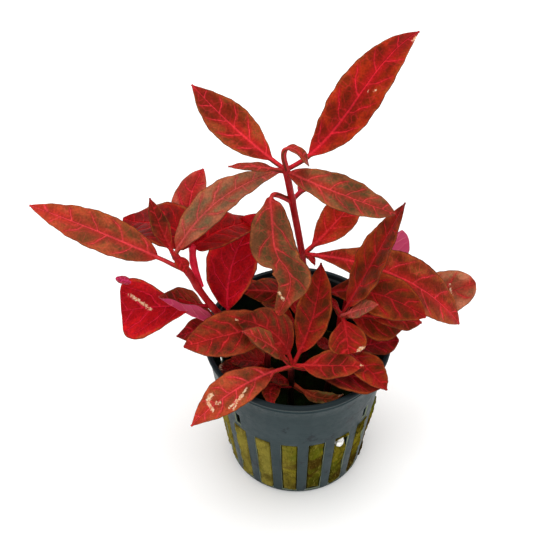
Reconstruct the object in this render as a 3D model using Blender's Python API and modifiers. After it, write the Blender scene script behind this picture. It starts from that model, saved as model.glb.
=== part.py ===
"""Potted alternanthera: red leafy stems standing in a rockwool plug, in a slotted net pot.

Sizes below are millimetres and degrees; the model itself is in metres, +Z up.
The origin is the middle of the pot's underside. The front of the plant faces -Y.
"""
import math
from dataclasses import dataclass, replace

import bmesh
import bpy
from mathutils import Matrix, Vector

MM = 0.001

# Net pot
POT_HEIGHT = 50.0
RIM_RADIUS = 27.5
LIP_HEIGHT = 1.6
LIP_OVERHANG = 0.8
WALL = 0.9
BASE_RADIUS = 20.1
FLOOR = 1.0
POT_STEPS = 72
SLOT_COUNT = 18
SLOT_BOTTOM = 1.3
SLOT_TOP = 28.0
SLOT_WIDTH_TOP = 5.1
SLOT_WIDTH_BOTTOM = 4.3
FIRST_SLOT_AZIMUTH = -96.2
HIGH_SLOTS = (3, 4, 5, 6, 13, 14, 15, 16)
HIGH_SLOT_SIZE = (2.2, 5.4)
HIGH_SLOT_MIDDLE = 32.3
FLOOR_SLOTS = 8
FLOOR_SLOT_SIZE = (9.0, 2.4)
FLOOR_SLOT_RADIUS = 11.0

# Rockwool plug and what is in it
GAP = 0.35
PLUG_TOP = 28.0
PLUG_STEPS = 48
GRANULE_AZIMUTH = -56.1
GRANULE_HEIGHT = 23.4
GRANULE_RADIUS = 22.05
GRANULE_SIZE = (1.2, 1.5, 1.9)

# Stems and leaves
STEM_RADIUS = 1.05
STEM_SIDES_RESOLUTION = 2
STEM_POINTS_PER_SPAN = 3
STEM_TIP = 0.7
ROOT_SPREAD = 0.3
BLADE = 0.6
LONG_BLADE = 23.0
LONG_BLADE_CELLS = 9
SHORT_BLADE_CELLS = 6
WIDE_BLADE = 7.5
WIDE_BLADE_CELLS = 4
NARROW_BLADE_CELLS = 2
STALK_HALF_WIDTH = 0.6
TIP_HALF_WIDTH = 0.3
WAVES = 2.0
ROUTED_BLADE_CELLS = 14
FULL_FOLD_HALF_WIDTH = 2.0

# Stem routes, root first; each later point is a node that carries leaves
TALL = [(2, 5, 20), (2.5, 5, 44), (2.3, 5, 61), (0.8, 5, 79.5), (-2.2, 4.5, 101.5), (-3.9, 4, 113.5)]
LEFT = [(-7, 1, 20), (-20, 0.5, 53), (-25, 0, 63), (-29, 0, 71.5), (-31.3, 0, 77.5), (-34.8, 1.5, 82.4)]
LEFT_BRANCH = [(-28, 1, 70), (-30, 5, 76), (-30.1, 7.4, 80.3)]
RIGHT = [(8, -3, 20), (11, -4, 48), (12.2, -4.5, 64.5)]
BACK = [(12, 10, 20), (14, 11, 46), (15.5, 12, 60)]
FRONT = [(-2, -7, 20), (-2, -10, 40), (-2.1, -13, 52)]
LOW = [(-7, -6, 20), (-9, -5, 42), (-6.5, -3, 58.6)]

# Midribs of a small curled leaf at the top, of the broad leaf low on the left, and of a leaf behind
CURLED = ((-3.9, 4, 113.5), (-4.8, 4, 118), (-4.7, 4, 120.9), (-3.5, 4, 122),
          (-1.8, 4, 121.5), (-0.1, 4, 119.8), (1.4, 4, 117.6), (2.2, 4, 115.4))
BROAD = ((-25, 0, 63), (-31.5, 1.5, 61.5), (-38.2, 2.5, 60), (-44.8, 3.1, 58.6), (-51.4, 3.2, 57.1))
BEHIND = ((-30, 5, 76), (-31, 10.5, 77.5), (-31.6, 15.5, 80.3), (-31.3, 20.3, 83.6),
          (-30, 25.3, 86.3), (-27.4, 30.4, 88.4))

# Midrib of the leaf that loops up from the tall stem and hangs in front of it
HANGING = ((-2.2, 4.5, 101.5), (-4.4, 3.6, 104.1), (-6.9, 2.4, 106.4), (-8.1, 1, 105.7), (-7.8, -0.6, 102.4),
           (-7.5, -2, 97.5), (-7.1, -3.2, 92.8), (-5.9, -4.2, 88.2), (-3.2, -5.2, 84), (-2.5, -6, 78.7),
           (-3.7, -6.6, 73.5), (-5.9, -7, 67.1))


@dataclass
class Leaf:
    """One blade: where it leaves the stem, where it points, and how it is bent."""
    at: tuple
    azimuth: float
    rise: float
    length: float
    width: float
    arch: float = 0.0
    dip: float = 0.0
    sway: float = 0.0
    roll: float = 0.0
    fold: float = 8.0
    wave: float = 0.25
    petiole: float = 0.14
    widest: float = 0.48
    full: float = 1.05
    route: tuple = ()
    bites: tuple = ()


TALL_LEAVES = [
    Leaf(TALL[5], 144, 24, 35, 11.5, arch=-0.5, sway=0.8, roll=-18),
    Leaf(TALL[5], 38, 28, 52, 14, arch=-1.5, dip=-3, roll=12, widest=0.46, full=0.95),
    Leaf(TALL[5], -16, -14, 31.5, 10.9, arch=-0.5, roll=15, petiole=0.02, full=0.72,
         bites=((0.27, -1, 0.22, 5),)),
    Leaf(TALL[5], -177, 9, 16, 3.6, arch=0.5, wave=0),
    Leaf(TALL[5], 0, 0, 19, 4.6, petiole=0.3, widest=0.6, wave=0, route=CURLED),
    Leaf(TALL[4], -108, -72, 51, 14.5, petiole=0.25, widest=0.52, full=0.62, route=HANGING,
         bites=((0.3, -1, 0.4, 3), (0.69, -1, 0.35, 1.6), (0.85, -1, 0.4, 9), (0.93, 1, 0.5, 5))),
    Leaf(TALL[4], 61, -30, 26.5, 8, arch=3),
    Leaf(TALL[3], 43, 24, 26, 10.6, arch=-2, roll=10, widest=0.54, full=0.95),
    Leaf(TALL[3], -21, -43, 5, 2.6, arch=1, wave=0),
    Leaf(TALL[3], 3, -35, 58, 15, arch=7, roll=30, petiole=0.04, widest=0.58, full=0.84),
    Leaf(TALL[2], -17, 6, 35.5, 13, arch=7, roll=30, widest=0.62, full=0.9),
    Leaf(TALL[2], 173, 1, 19.5, 9.5, arch=1, roll=-40, fold=-36),
    Leaf(TALL[1], 112, 24, 32.5, 6, arch=2),
    Leaf((2.5, 5, 42.5), 144, 24, 29, 6, arch=2),
]
LEFT_LEAVES = [
    Leaf(LEFT[4], 162, 14, 49, 11.4, arch=1, roll=-25, petiole=0.2, widest=0.42, full=0.88),
    Leaf(LEFT[5], 22.8, 32, 38.6, 11.8, arch=2, sway=4, roll=5, petiole=0.04, widest=0.38),
    Leaf(LEFT[5], 128, 52.6, 18.5, 5.6, arch=1, sway=1, wave=0),
    Leaf(LEFT[5], -54, -30, 5.6, 4.2, arch=1, petiole=0.02, wave=0),
    Leaf((-20, 1.2, 53), -178, 34, 24, 15.5, arch=-1.5, roll=27, fold=38, widest=0.5),
    Leaf(LEFT[2], 179, -12, 27, 18.6, roll=-30, widest=0.8, full=0.3, route=BROAD,
         bites=((0.45, -1, 0.4, 6),)),
    Leaf((-48.6, 9.4, 62.7), 172, 14, 4.6, 2.8, roll=-20, petiole=0, full=0.6, wave=0),
    Leaf(LEFT[1], 178, -15, 16, 8, arch=1, roll=-10),
    Leaf(LEFT[1], 67, 50, 34.3, 15.5, arch=1, sway=3.9, full=0.8),
    Leaf(LEFT_BRANCH[2], 144, -9, 25.5, 15.5, arch=3.2, dip=1.6, roll=-10, petiole=0, widest=0.36, full=0.7),
    Leaf(LEFT_BRANCH[2], 39, -14, 24, 11, arch=3, roll=10, petiole=0, widest=0.36, full=0.7),
    Leaf(LEFT_BRANCH[1], 82, 32, 28, 10.3, petiole=0.25, widest=0.5, route=BEHIND),
]
RIGHT_LEAVES = [
    Leaf(RIGHT[2], 22, 65.8, 42.5, 13, sway=-0.3, petiole=0.08, widest=0.42),
    Leaf((12.4, -5.2, 64.3), -37, 47, 17.5, 5.8, roll=25, wave=0),
    Leaf(RIGHT[2], 15, -25, 22.5, 13, roll=35),
    Leaf(RIGHT[2], -80, -32, 11.5, 11.5, arch=2, widest=0.68, full=0.5),
    Leaf(RIGHT[2], 115, 4, 7, 2, wave=0),
    Leaf(RIGHT[1], 1, 13, 18.5, 9, roll=10, widest=0.7, full=0.8),
    Leaf(RIGHT[1], 9, -4, 13, 5.5, roll=10),
    Leaf(RIGHT[1], -38, 36, 12, 5.5, roll=10),
    Leaf(RIGHT[2], 2, -12, 23.5, 6.5, roll=20, widest=0.7),
    Leaf(RIGHT[1], 165, 25, 6.5, 4.5, wave=0),
    Leaf((11.3, -4.1, 51.5), -55, 6, 23.5, 9.5, arch=1.5, widest=0.55),
]
BACK_LEAVES = [
    Leaf(BACK[2], 11, -12, 39, 13.5, arch=-7, roll=28, widest=0.72, full=0.5),
    Leaf(BACK[2], 42, 18, 22, 16, sway=-2, roll=150, widest=0.52, full=0.8),
]
FRONT_LEAVES = [
    Leaf(FRONT[2], 66, 50, 31, 10.5, arch=1, sway=-2.3, petiole=0.12),
    Leaf(FRONT[2], -161, 54, 24.5, 8.5, arch=1.2, roll=-15),
    Leaf(FRONT[2], -151, -13, 33.5, 11.5, arch=4.2, roll=-12),
    Leaf(FRONT[2], -13, 14, 21.5, 9.5, roll=14),
    Leaf(FRONT[2], -11, -2, 28.5, 13.5, arch=-0.3, roll=-5, fold=4, widest=0.65, full=0.8),
    Leaf(FRONT[2], 152, 29, 21, 13, arch=6.5, roll=-24),
    Leaf(FRONT[1], -150, 40, 12, 7.5, arch=1),
    Leaf(FRONT[1], -112, 21, 14, 5.5, arch=1, sway=-3.5, widest=0.5),
    Leaf(FRONT[1], -28, 14, 17, 5, arch=-4),
]
LOW_LEAVES = [
    Leaf(LOW[2], -162, 0, 28, 14, arch=0.5, roll=-22, petiole=0.02, full=0.85),
    Leaf(LOW[1], -175, 15, 11.5, 7.5, arch=1),
    Leaf(LOW[1], -177, 0, 14.5, 6.5, widest=0.7, full=0.6),
    Leaf(LOW[1], 160, 20, 9.5, 8, petiole=0.05, widest=0.4),
]
LEAFY_STEMS = [
    ("tall_leafy_stem", [TALL], TALL_LEAVES, (0.42, 0.06, 0.03)),
    ("left_leafy_stem", [LEFT, LEFT_BRANCH], LEFT_LEAVES, (0.36, 0.07, 0.04)),
    ("right_leafy_stem", [RIGHT], RIGHT_LEAVES, (0.40, 0.08, 0.03)),
    ("back_leafy_stem", [BACK], BACK_LEAVES, (0.42, 0.04, 0.03)),
    ("front_leafy_stem", [FRONT], FRONT_LEAVES, (0.38, 0.07, 0.04)),
    ("low_leafy_stem", [LOW], LOW_LEAVES, (0.36, 0.05, 0.04)),
]


def clear_scene():
    for obj in list(bpy.data.objects):
        bpy.data.objects.remove(obj)


def new_collection(name):
    collection = bpy.data.collections.new(name)
    bpy.context.scene.collection.children.link(collection)
    return collection


def add_object(name, mesh, collection):
    obj = bpy.data.objects.new(name, mesh)
    collection.objects.link(obj)
    return obj


def material(name, colour, roughness):
    mat = bpy.data.materials.new(name)
    mat.use_nodes = True
    shader = mat.node_tree.nodes["Principled BSDF"]
    shader.inputs["Base Color"].default_value = (*colour, 1.0)
    shader.inputs["Roughness"].default_value = roughness
    shader.inputs["Metallic"].default_value = 0.0
    return mat


def mark_as_cutter(obj):
    obj.hide_render = True
    obj.display_type = "WIRE"


def weld(mesh):
    bm = bmesh.new()
    bm.from_mesh(mesh)
    bmesh.ops.remove_doubles(bm, verts=bm.verts, dist=0.01 * MM)
    bm.to_mesh(mesh)
    bm.free()


def bake(obj):
    """Swaps the object for a mesh with its modifiers applied, in the same collection."""
    depsgraph = bpy.context.evaluated_depsgraph_get()
    mesh = bpy.data.meshes.new_from_object(obj.evaluated_get(depsgraph))
    if obj.type == "CURVE":
        weld(mesh)
    name = obj.name
    collection = obj.users_collection[0]
    bpy.data.objects.remove(obj)
    return add_object(name, mesh, collection)


def boolean(obj, collection, operation, solver="EXACT"):
    cut = obj.modifiers.new(operation.lower(), "BOOLEAN")
    cut.operation = operation
    cut.operand_type = "COLLECTION"
    cut.collection = collection
    cut.solver = solver


def shells(bm):
    """Lists of the faces that hang together across edges with two faces."""
    left = set(bm.faces)
    found = []
    while left:
        shell = [left.pop()]
        for face in shell:
            for edge in face.edges:
                if len(edge.link_faces) > 2:
                    continue
                joined = [other for other in edge.link_faces if other in left]
                left.difference_update(joined)
                shell.extend(joined)
        found.append(shell)
    return found


def split_into_triangles(mesh):
    bm = bmesh.new()
    bm.from_mesh(mesh)
    bmesh.ops.triangulate(bm, faces=bm.faces)
    bm.to_mesh(mesh)
    bm.free()


def keep_outer_shell(mesh):
    """Fills hollows closed off between fused leaves and drops crumbs of the union."""
    bm = bmesh.new()
    bm.from_mesh(mesh)
    found = sorted(shells(bm), key=len, reverse=True)
    spare = [face for shell in found[1:] for face in shell]
    bmesh.ops.delete(bm, geom=spare, context="FACES")
    bm.to_mesh(mesh)
    bm.free()


def remove_collection(collection):
    for obj in list(collection.objects):
        bpy.data.objects.remove(obj)
    bpy.data.collections.remove(collection)


def turned(name, outline, steps, collection):
    """A solid of revolution; the outline runs down its outer side."""
    bm = bmesh.new()
    verts = [bm.verts.new((r * MM, 0.0, z * MM)) for r, z in outline]
    for first, second in zip(verts, verts[1:]):
        bm.edges.new((first, second))
    mesh = bpy.data.meshes.new(name)
    bm.to_mesh(mesh)
    bm.free()
    obj = add_object(name, mesh, collection)
    screw = obj.modifiers.new("turn", "SCREW")
    screw.steps = steps
    screw.render_steps = steps
    screw.use_merge_vertices = True
    screw.merge_threshold = 0.01 * MM
    return bake(obj)


def shade(obj):
    obj.data.shade_smooth()
    obj.data.set_sharp_from_angle(angle=math.radians(35))


def wall_radius(z):
    """Outer radius of the pot's straight wall at height z."""
    top = RIM_RADIUS - LIP_OVERHANG
    return BASE_RADIUS + (top - BASE_RADIUS) * z / (POT_HEIGHT - LIP_HEIGHT)


def lip_outline():
    """Rounded lip, from its inner top edge over to the wall below it."""
    middle = POT_HEIGHT - LIP_HEIGHT / 2
    half = LIP_HEIGHT / 2
    outer = [(RIM_RADIUS - half + half * math.cos(a), middle + half * math.sin(a))
             for a in (math.radians(d) for d in (90, 60, 30, 0, -30, -60))]
    return outer


def pot_outline():
    under_lip = POT_HEIGHT - LIP_HEIGHT
    bead = under_lip - 1.6
    inner = [(0, FLOOR), (wall_radius(FLOOR) - WALL, FLOOR), (wall_radius(under_lip) - WALL, under_lip - 1)]
    rim = [(wall_radius(under_lip) - WALL + 0.2, POT_HEIGHT - 0.2)] + lip_outline()
    outer = [
        (wall_radius(under_lip), under_lip - 0.1),
        (wall_radius(bead), bead + 0.3),
        (wall_radius(bead) + 0.22, bead),
        (wall_radius(bead - 0.4), bead - 0.4),
        (BASE_RADIUS, 0.6),
        (BASE_RADIUS - 0.5, 0),
        (0, 0),
    ]
    return inner + rim + outer


def slot_azimuth(index):
    return math.radians(FIRST_SLOT_AZIMUTH + index * 360.0 / SLOT_COUNT)


def box(name, size, matrix, collection):
    bm = bmesh.new()
    bmesh.ops.create_cube(bm, size=1.0, matrix=matrix @ Matrix.Diagonal((*size, 1.0)))
    mesh = bpy.data.meshes.new(name)
    bm.to_mesh(mesh)
    bm.free()
    obj = add_object(name, mesh, collection)
    mark_as_cutter(obj)
    return obj


def slot_cutter(index, collection):
    """A tapered block through the wall, wider at its top than at its foot."""
    height = SLOT_TOP - SLOT_BOTTOM
    middle = (SLOT_TOP + SLOT_BOTTOM) / 2
    radius = wall_radius(middle)
    place = Matrix.Rotation(slot_azimuth(index), 4, "Z") @ Matrix.Translation(
        (radius * MM, 0.0, middle * MM))
    cutter = box(f"slot_{index}", (12 * MM, SLOT_WIDTH_TOP * MM, height * MM), place, collection)
    narrow = SLOT_WIDTH_BOTTOM / SLOT_WIDTH_TOP
    inverse = place.inverted()
    for vert in cutter.data.vertices:
        local = inverse @ vert.co
        if local.z < 0:
            local.y *= narrow
            vert.co = place @ local


def high_slot_cutter(index, collection):
    width, height = (value * MM for value in HIGH_SLOT_SIZE)
    radius = wall_radius(HIGH_SLOT_MIDDLE)
    place = Matrix.Rotation(slot_azimuth(index), 4, "Z") @ Matrix.Translation(
        (radius * MM, 0.0, HIGH_SLOT_MIDDLE * MM))
    box(f"high_slot_{index}", (6 * MM, width, height), place, collection)


def floor_slot_cutter(index, collection):
    length, width = (value * MM for value in FLOOR_SLOT_SIZE)
    turn = Matrix.Rotation(math.tau * (index + 0.5) / FLOOR_SLOTS, 4, "Z")
    place = turn @ Matrix.Translation((FLOOR_SLOT_RADIUS * MM, 0.0, 0.0))
    box(f"floor_slot_{index}", (length, width, 6 * MM), place, collection)


def make_pot(parts):
    pot = turned("net_pot", pot_outline(), POT_STEPS, parts)
    slots = new_collection("slot_cutters")
    for index in range(SLOT_COUNT):
        slot_cutter(index, slots)
    for index in HIGH_SLOTS:
        high_slot_cutter(index, slots)
    for index in range(FLOOR_SLOTS):
        floor_slot_cutter(index, slots)
    boolean(pot, slots, "DIFFERENCE")
    pot = bake(pot)
    remove_collection(slots)
    shade(pot)
    pot.data.materials.append(material("slate_plastic", (0.045, 0.075, 0.085), 0.42))


def smooth_route(route):
    """Points of a smooth curve through the route's own points, in metres."""
    points = [Vector(p) * MM for p in route]
    curve = []
    for i in range(len(points) - 1):
        p0 = points[max(i - 1, 0)]
        p1 = points[i]
        p2 = points[i + 1]
        p3 = points[min(i + 2, len(points) - 1)]
        for k in range(STEM_POINTS_PER_SPAN):
            t = k / STEM_POINTS_PER_SPAN
            curve.append(0.5 * (2 * p1 + (p2 - p0) * t + (2 * p0 - 5 * p1 + 4 * p2 - p3) * t * t
                                + (3 * p1 - p0 - 3 * p2 + p3) * t * t * t))
    curve.append(points[-1])
    curve.append(points[-1] + (points[-1] - curve[-2]).normalized() * STEM_TIP * MM)
    return curve


def tube(name, points, radius, collection):
    """A round rod along the points, with closed ends, as a mesh."""
    data = bpy.data.curves.new(name, "CURVE")
    data.dimensions = "3D"
    data.bevel_depth = radius * MM
    data.bevel_resolution = STEM_SIDES_RESOLUTION
    data.use_fill_caps = True
    spline = data.splines.new("POLY")
    spline.points.add(len(points) - 1)
    for place, point in zip(spline.points, points):
        place.co = (*point, 1.0)
    return bake(add_object(name, data, collection))


def half_width(leaf, s):
    """Half of the blade's width at s, from 0 at the stem to 1 at the tip."""
    x = max(0.0, (s - leaf.petiole) / (1.0 - leaf.petiole))
    power = leaf.full * leaf.widest / (1.0 - leaf.widest)
    peak = leaf.widest ** power * (1.0 - leaf.widest) ** leaf.full
    blade = leaf.width / 2 * x ** power * (1.0 - x) ** leaf.full / peak
    stalk = STALK_HALF_WIDTH + (TIP_HALF_WIDTH - STALK_HALF_WIDTH) * x
    return max(stalk, blade)


def curve_point(points, share):
    """A point of the smooth curve through the points, and the way it runs there."""
    place = share * (len(points) - 1)
    i = min(int(place), len(points) - 2)
    t = place - i
    p0 = Vector(points[max(i - 1, 0)])
    p1 = Vector(points[i])
    p2 = Vector(points[i + 1])
    p3 = Vector(points[min(i + 2, len(points) - 1)])
    first = p2 - p0
    second = 2 * p0 - 5 * p1 + 4 * p2 - p3
    third = 3 * p1 - p0 - 3 * p2 + p3
    return p1 + (first * t + second * t * t + third * t ** 3) / 2, first + 2 * second * t + 3 * third * t * t


def midrib(leaf, s, along, level):
    """A point of the midrib, and the way it runs there."""
    if leaf.route:
        return curve_point(leaf.route, s)
    above = along.cross(level)
    bulge = 4 * s * (1 - s)
    bend = 10.4 * s * (1 - s) * (1 - 2 * s)
    bulge_slope = 4 * (1 - 2 * s)
    bend_slope = 10.4 * (1 - 6 * s + 6 * s * s)
    point = (Vector(leaf.at) + along * leaf.length * s
             + above * (leaf.arch * bulge + leaf.dip * bend)
             + level * leaf.sway * bulge)
    slope = (along * leaf.length
             + above * (leaf.arch * bulge_slope + leaf.dip * bend_slope)
             + level * leaf.sway * bulge_slope)
    return point, slope


def bitten(leaf, s, v):
    """The share of the blade's width that is left at s on the side of v."""
    left = 1.0
    for place, side, depth, reach in leaf.bites:
        if v * side > 0:
            left *= 1 - depth * math.exp(-((s - place) * leaf.length / reach) ** 2)
    return left


def blade_point(leaf, s, v):
    """A point of the blade; s runs from stem to tip, v from -1 to 1 across it."""
    azimuth = math.radians(leaf.azimuth)
    rise = math.radians(leaf.rise)
    along = Vector((math.cos(azimuth) * math.cos(rise), math.sin(azimuth) * math.cos(rise), math.sin(rise)))
    level = Vector((-math.sin(azimuth), math.cos(azimuth), 0.0))
    rib, slope = midrib(leaf, s, along, level)
    tangent = slope.normalized()
    side = Matrix.Rotation(math.radians(leaf.roll), 3, along) @ level
    side = (side - tangent * side.dot(tangent)).normalized()
    normal = tangent.cross(side)
    half = half_width(leaf, s)
    fold = math.radians(leaf.fold) * min(1.0, half / FULL_FOLD_HALF_WIDTH)
    phase = 1.5 if v > 0 else 0.0
    ripple = leaf.wave * math.sin(math.tau * WAVES * s + phase) * v * v * min(1.0, 3 * half / leaf.width)
    out = half * v * bitten(leaf, s, v)
    return rib + side * (out * math.cos(fold)) + normal * (abs(out) * math.sin(fold) + ripple)


def make_blade(name, leaf, collection):
    bm = bmesh.new()
    along = LONG_BLADE_CELLS if leaf.length > LONG_BLADE else SHORT_BLADE_CELLS
    if leaf.route:
        along = ROUTED_BLADE_CELLS
    across = WIDE_BLADE_CELLS if leaf.width > WIDE_BLADE else NARROW_BLADE_CELLS
    bmesh.ops.create_grid(bm, x_segments=along, y_segments=across, size=1.0)
    for vert in bm.verts:
        vert.co = blade_point(leaf, (vert.co.x + 1) / 2, vert.co.y) * MM
    bmesh.ops.triangulate(bm, faces=bm.faces)
    mesh = bpy.data.meshes.new(name)
    bm.to_mesh(mesh)
    bm.free()
    blade = add_object(name, mesh, collection)
    thick = blade.modifiers.new("thickness", "SOLIDIFY")
    thick.thickness = BLADE * MM
    thick.offset = 0.0
    return bake(blade)


def rooted_apart(leaf, index):
    """The leaf with its root moved a little, so that no two start in one point."""
    spread = Vector((math.cos(2.4 * index), math.sin(2.4 * index), math.sin(1.7 * index)))
    return replace(leaf, at=tuple(Vector(leaf.at) + spread * ROOT_SPREAD))


def make_leafy_stem(name, routes, leaves, colour, parts):
    """The stem, its branches and all its leaves, fused into one body."""
    stem = tube(name, smooth_route(routes[0]), STEM_RADIUS, parts)
    growth = new_collection(f"{name}_growth")
    for index, route in enumerate(routes[1:]):
        tube(f"{name}_branch_{index}", smooth_route(route), STEM_RADIUS, growth)
    for index, leaf in enumerate(leaves):
        make_blade(f"{name}_leaf_{index}", rooted_apart(leaf, index), growth)
    boolean(stem, growth, "UNION", "MANIFOLD")
    stem = bake(stem)
    split_into_triangles(stem.data)
    keep_outer_shell(stem.data)
    remove_collection(growth)
    shade(stem)
    stem.data.materials.append(material(f"{name}_red", colour, 0.45))


def plug_outline():
    """Tapered plug, a little clear of the pot's wall and floor, with a soft upper edge."""
    top_radius = wall_radius(PLUG_TOP) - WALL - GAP - 0.1
    foot_radius = wall_radius(FLOOR + GAP) - WALL - GAP - 0.1
    foot = FLOOR + GAP
    rings = [(top_radius * share, PLUG_TOP) for share in (0.0, 0.3, 0.55, 0.75, 0.9)]
    middle = [(foot_radius + (top_radius - foot_radius) * share, foot + (PLUG_TOP - foot) * share)
              for share in (0.95, 0.8, 0.6, 0.4, 0.2)]
    return rings + middle + [(foot_radius, foot), (0.0, foot)]


def roughen(obj):
    """Hollows in the fibre: the top sinks unevenly and the side only pulls in."""
    for vert in obj.data.vertices:
        x, y, z = vert.co / MM
        radius = math.hypot(x, y)
        if z > PLUG_TOP - 0.1 and radius > 1.0:
            vert.co.z += (0.7 * math.sin(0.61 * x + 1.3) * math.cos(0.53 * y) - 0.4) * MM
        elif radius > 1.0 and z > FLOOR + GAP + 0.1:
            azimuth = math.atan2(y, x)
            dent = 0.22 * (1 + math.sin(7 * azimuth + 0.4 * z) * math.cos(0.55 * z + 3 * azimuth))
            vert.co.x *= 1 - dent / radius
            vert.co.y *= 1 - dent / radius


def granule_mesh(name, spare):
    """A rounded grain; spare makes it that much larger on every side."""
    bm = bmesh.new()
    bmesh.ops.create_icosphere(bm, subdivisions=2, radius=1.0)
    azimuth = math.radians(GRANULE_AZIMUTH)
    place = Matrix.Rotation(azimuth, 4, "Z") @ Matrix.Translation((GRANULE_RADIUS, 0.0, GRANULE_HEIGHT))
    for vert in bm.verts:
        x, y, z = vert.co
        lump = 1 + 0.09 * math.sin(5 * x + 2 * y) + 0.07 * math.sin(6 * z - 3 * y)
        size = [part * lump + spare for part in GRANULE_SIZE]
        vert.co = (place @ Vector((x * size[0], y * size[1], z * size[2]))) * MM
    mesh = bpy.data.meshes.new(name)
    bm.to_mesh(mesh)
    bm.free()
    return mesh


def make_plug(parts):
    plug = turned("rockwool_plug", plug_outline(), PLUG_STEPS, parts)
    roughen(plug)
    split_into_triangles(plug.data)
    holes = new_collection("hole_cutters")
    for name, routes, _, _ in LEAFY_STEMS:
        path = smooth_route(routes[0])
        down = (path[0] - path[1]).normalized() * GAP * MM
        cutter = tube(f"{name}_hole", [path[0] + down] + path, STEM_RADIUS + GAP, holes)
        mark_as_cutter(cutter)
    pocket = add_object("granule_pocket", granule_mesh("granule_pocket", GAP), holes)
    mark_as_cutter(pocket)
    boolean(plug, holes, "DIFFERENCE")
    plug = bake(plug)
    remove_collection(holes)
    shade(plug)
    plug.data.materials.append(material("rockwool", (0.30, 0.25, 0.06), 0.95))


def make_granule(parts):
    granule = add_object("white_granule", granule_mesh("white_granule", 0.0), parts)
    shade(granule)
    granule.data.materials.append(material("white_mineral", (0.80, 0.80, 0.78), 0.8))


def main():
    clear_scene()
    parts = new_collection("potted_alternanthera")
    make_pot(parts)
    make_plug(parts)
    make_granule(parts)
    for name, routes, leaves, colour in LEAFY_STEMS:
        make_leafy_stem(name, routes, leaves, colour, parts)


main()
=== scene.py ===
"""Potted alternanthera: crimson and brown leaves on pink stems, in a slotted net pot of rockwool.

Lengths are millimetres and angles degrees, unless a name says otherwise; meshes are in metres.
The origin is the middle of the pot's underside, +Z is up, and the camera looks from -Y.
"""

import math
from dataclasses import dataclass, replace

import bmesh
import bpy
import numpy as np
from mathutils import Matrix, Vector, noise

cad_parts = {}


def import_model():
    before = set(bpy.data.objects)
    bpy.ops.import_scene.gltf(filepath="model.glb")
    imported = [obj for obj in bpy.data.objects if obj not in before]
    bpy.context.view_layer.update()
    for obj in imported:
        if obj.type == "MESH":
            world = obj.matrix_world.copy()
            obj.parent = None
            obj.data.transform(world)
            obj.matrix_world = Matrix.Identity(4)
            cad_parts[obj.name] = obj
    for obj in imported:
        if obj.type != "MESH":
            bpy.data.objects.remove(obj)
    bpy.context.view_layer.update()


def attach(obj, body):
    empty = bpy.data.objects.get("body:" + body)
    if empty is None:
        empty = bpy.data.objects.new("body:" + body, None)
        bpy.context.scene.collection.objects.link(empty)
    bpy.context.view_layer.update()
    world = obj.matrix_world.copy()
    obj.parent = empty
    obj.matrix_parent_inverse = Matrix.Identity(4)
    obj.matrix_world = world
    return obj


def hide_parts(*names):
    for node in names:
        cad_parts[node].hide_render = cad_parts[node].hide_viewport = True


MM = 0.001

# Camera, fitted to the photograph
CAMERA_RISE = 47.4
CAMERA_DISTANCE = 533.8
CAMERA_AIM = (-9.2, 0.0, 79.8)
CAMERA_LENS = 128.3
CAMERA_SENSOR = 36.0

# Studio, in metres; each light has its place, its size and its power in watts
FLOOR_REACH = 3.0
FLOOR_DROP = 0.0001
LIGHT_AIM = (0.0, 0.0, 0.06)
LIGHTS = {"key": ((0.02, 0.16, 1.1), 0.7, 3.2), "front": ((-0.3, -0.95, 0.85), 1.0, 2.0)}
WORLD_STRENGTH = 1.17

# Net pot, as in the part
POT_HEIGHT = 50.0
RIM_RADIUS = 27.5
LIP_HEIGHT = 1.6
LIP_OVERHANG = 0.8
WALL = 0.9
BASE_RADIUS = 20.1
FLOOR = 1.0
SLOT_COUNT = 18
SLOT_BOTTOM = 1.3
SLOT_TOP = 28.0
SLOT_WIDTH_TOP = 5.1
SLOT_WIDTH_BOTTOM = 4.3
FIRST_SLOT_AZIMUTH = -96.2
HIGH_SLOTS = (3, 4, 5, 6, 13, 14, 15, 16)
HIGH_SLOT_WIDTH = 2.2
HIGH_SLOT_BOTTOM = 29.6
HIGH_SLOT_TOP = 35.0
FLOOR_SLOTS = 8
FLOOR_SLOT_SIZE = (9.0, 2.4)
FLOOR_SLOT_RADIUS = 11.0
BEAD_HEIGHT = 46.8
BEAD_PROUD = 0.22

# Rockwool plug and the grain in it, as in the part
PLUG_TOP = 28.0
PLUG_CLEARANCE = 0.45
GRANULE_AZIMUTH = -56.1
GRANULE_HEIGHT = 23.4
GRANULE_RADIUS = 22.05
GRANULE_SIZE = (1.2, 1.5, 1.9)

# Finer detail of the pot and the plug, which the part doesn't have
SLOT_EDGE_ROUNDING = 0.26
SLOT_MARGIN = 0.08
SLOT_FILL = 1.95
GRANULE_ROOM = 2.2
# Heights where the plug's side turns mossy and near black with painted shade, and how far it fades in
MOSS_AND_SHADE_START = 25.0
MOSS_AND_SHADE_FADE = 1.5
PLUG_ROWS = 100
PLUG_RINGS = 30
PLUG_ANGLES = [math.tau * column / 648 for column in range(648)]

# Stems and leaves, as in the part
STEM_RADIUS = 1.05
STALK_HALF_WIDTH = 0.6
TIP_HALF_WIDTH = 0.3
WAVES = 2.0
FULL_FOLD_HALF_WIDTH = 2.0
ROOT_SPREAD = 0.3

# Fineness of the dressed leaves and stems
LEAF_CELL = 0.45
LEAF_CELLS_ACROSS = 28
BLADE_THICKNESS = 0.32
STALK_THICKNESS = 1.0
STEM_SIDES = 20
STEM_STEP = 0.7
QUILT_HEIGHT = 0.12
QUILT_SINK = 0.1

# How far the side veins of one half are shifted from the other's, as a share of their spacing
VEIN_SHIFT = 0.42

# Values kept at each point of a leafy stem, for its materials
LEAF_MEASURES = ("leaf_along", "leaf_across", "leaf_reach", "leaf_edge", "leaf_spacing", "leaf_seed",
                 "leaf_scar")
LEAF_COLOURS = ("leaf_inner", "leaf_outer", "leaf_vein", "leaf_under")

# How much brighter than full reflectance the studio's light makes an open surface
STUDIO_BRIGHTNESS = 1.28

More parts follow.
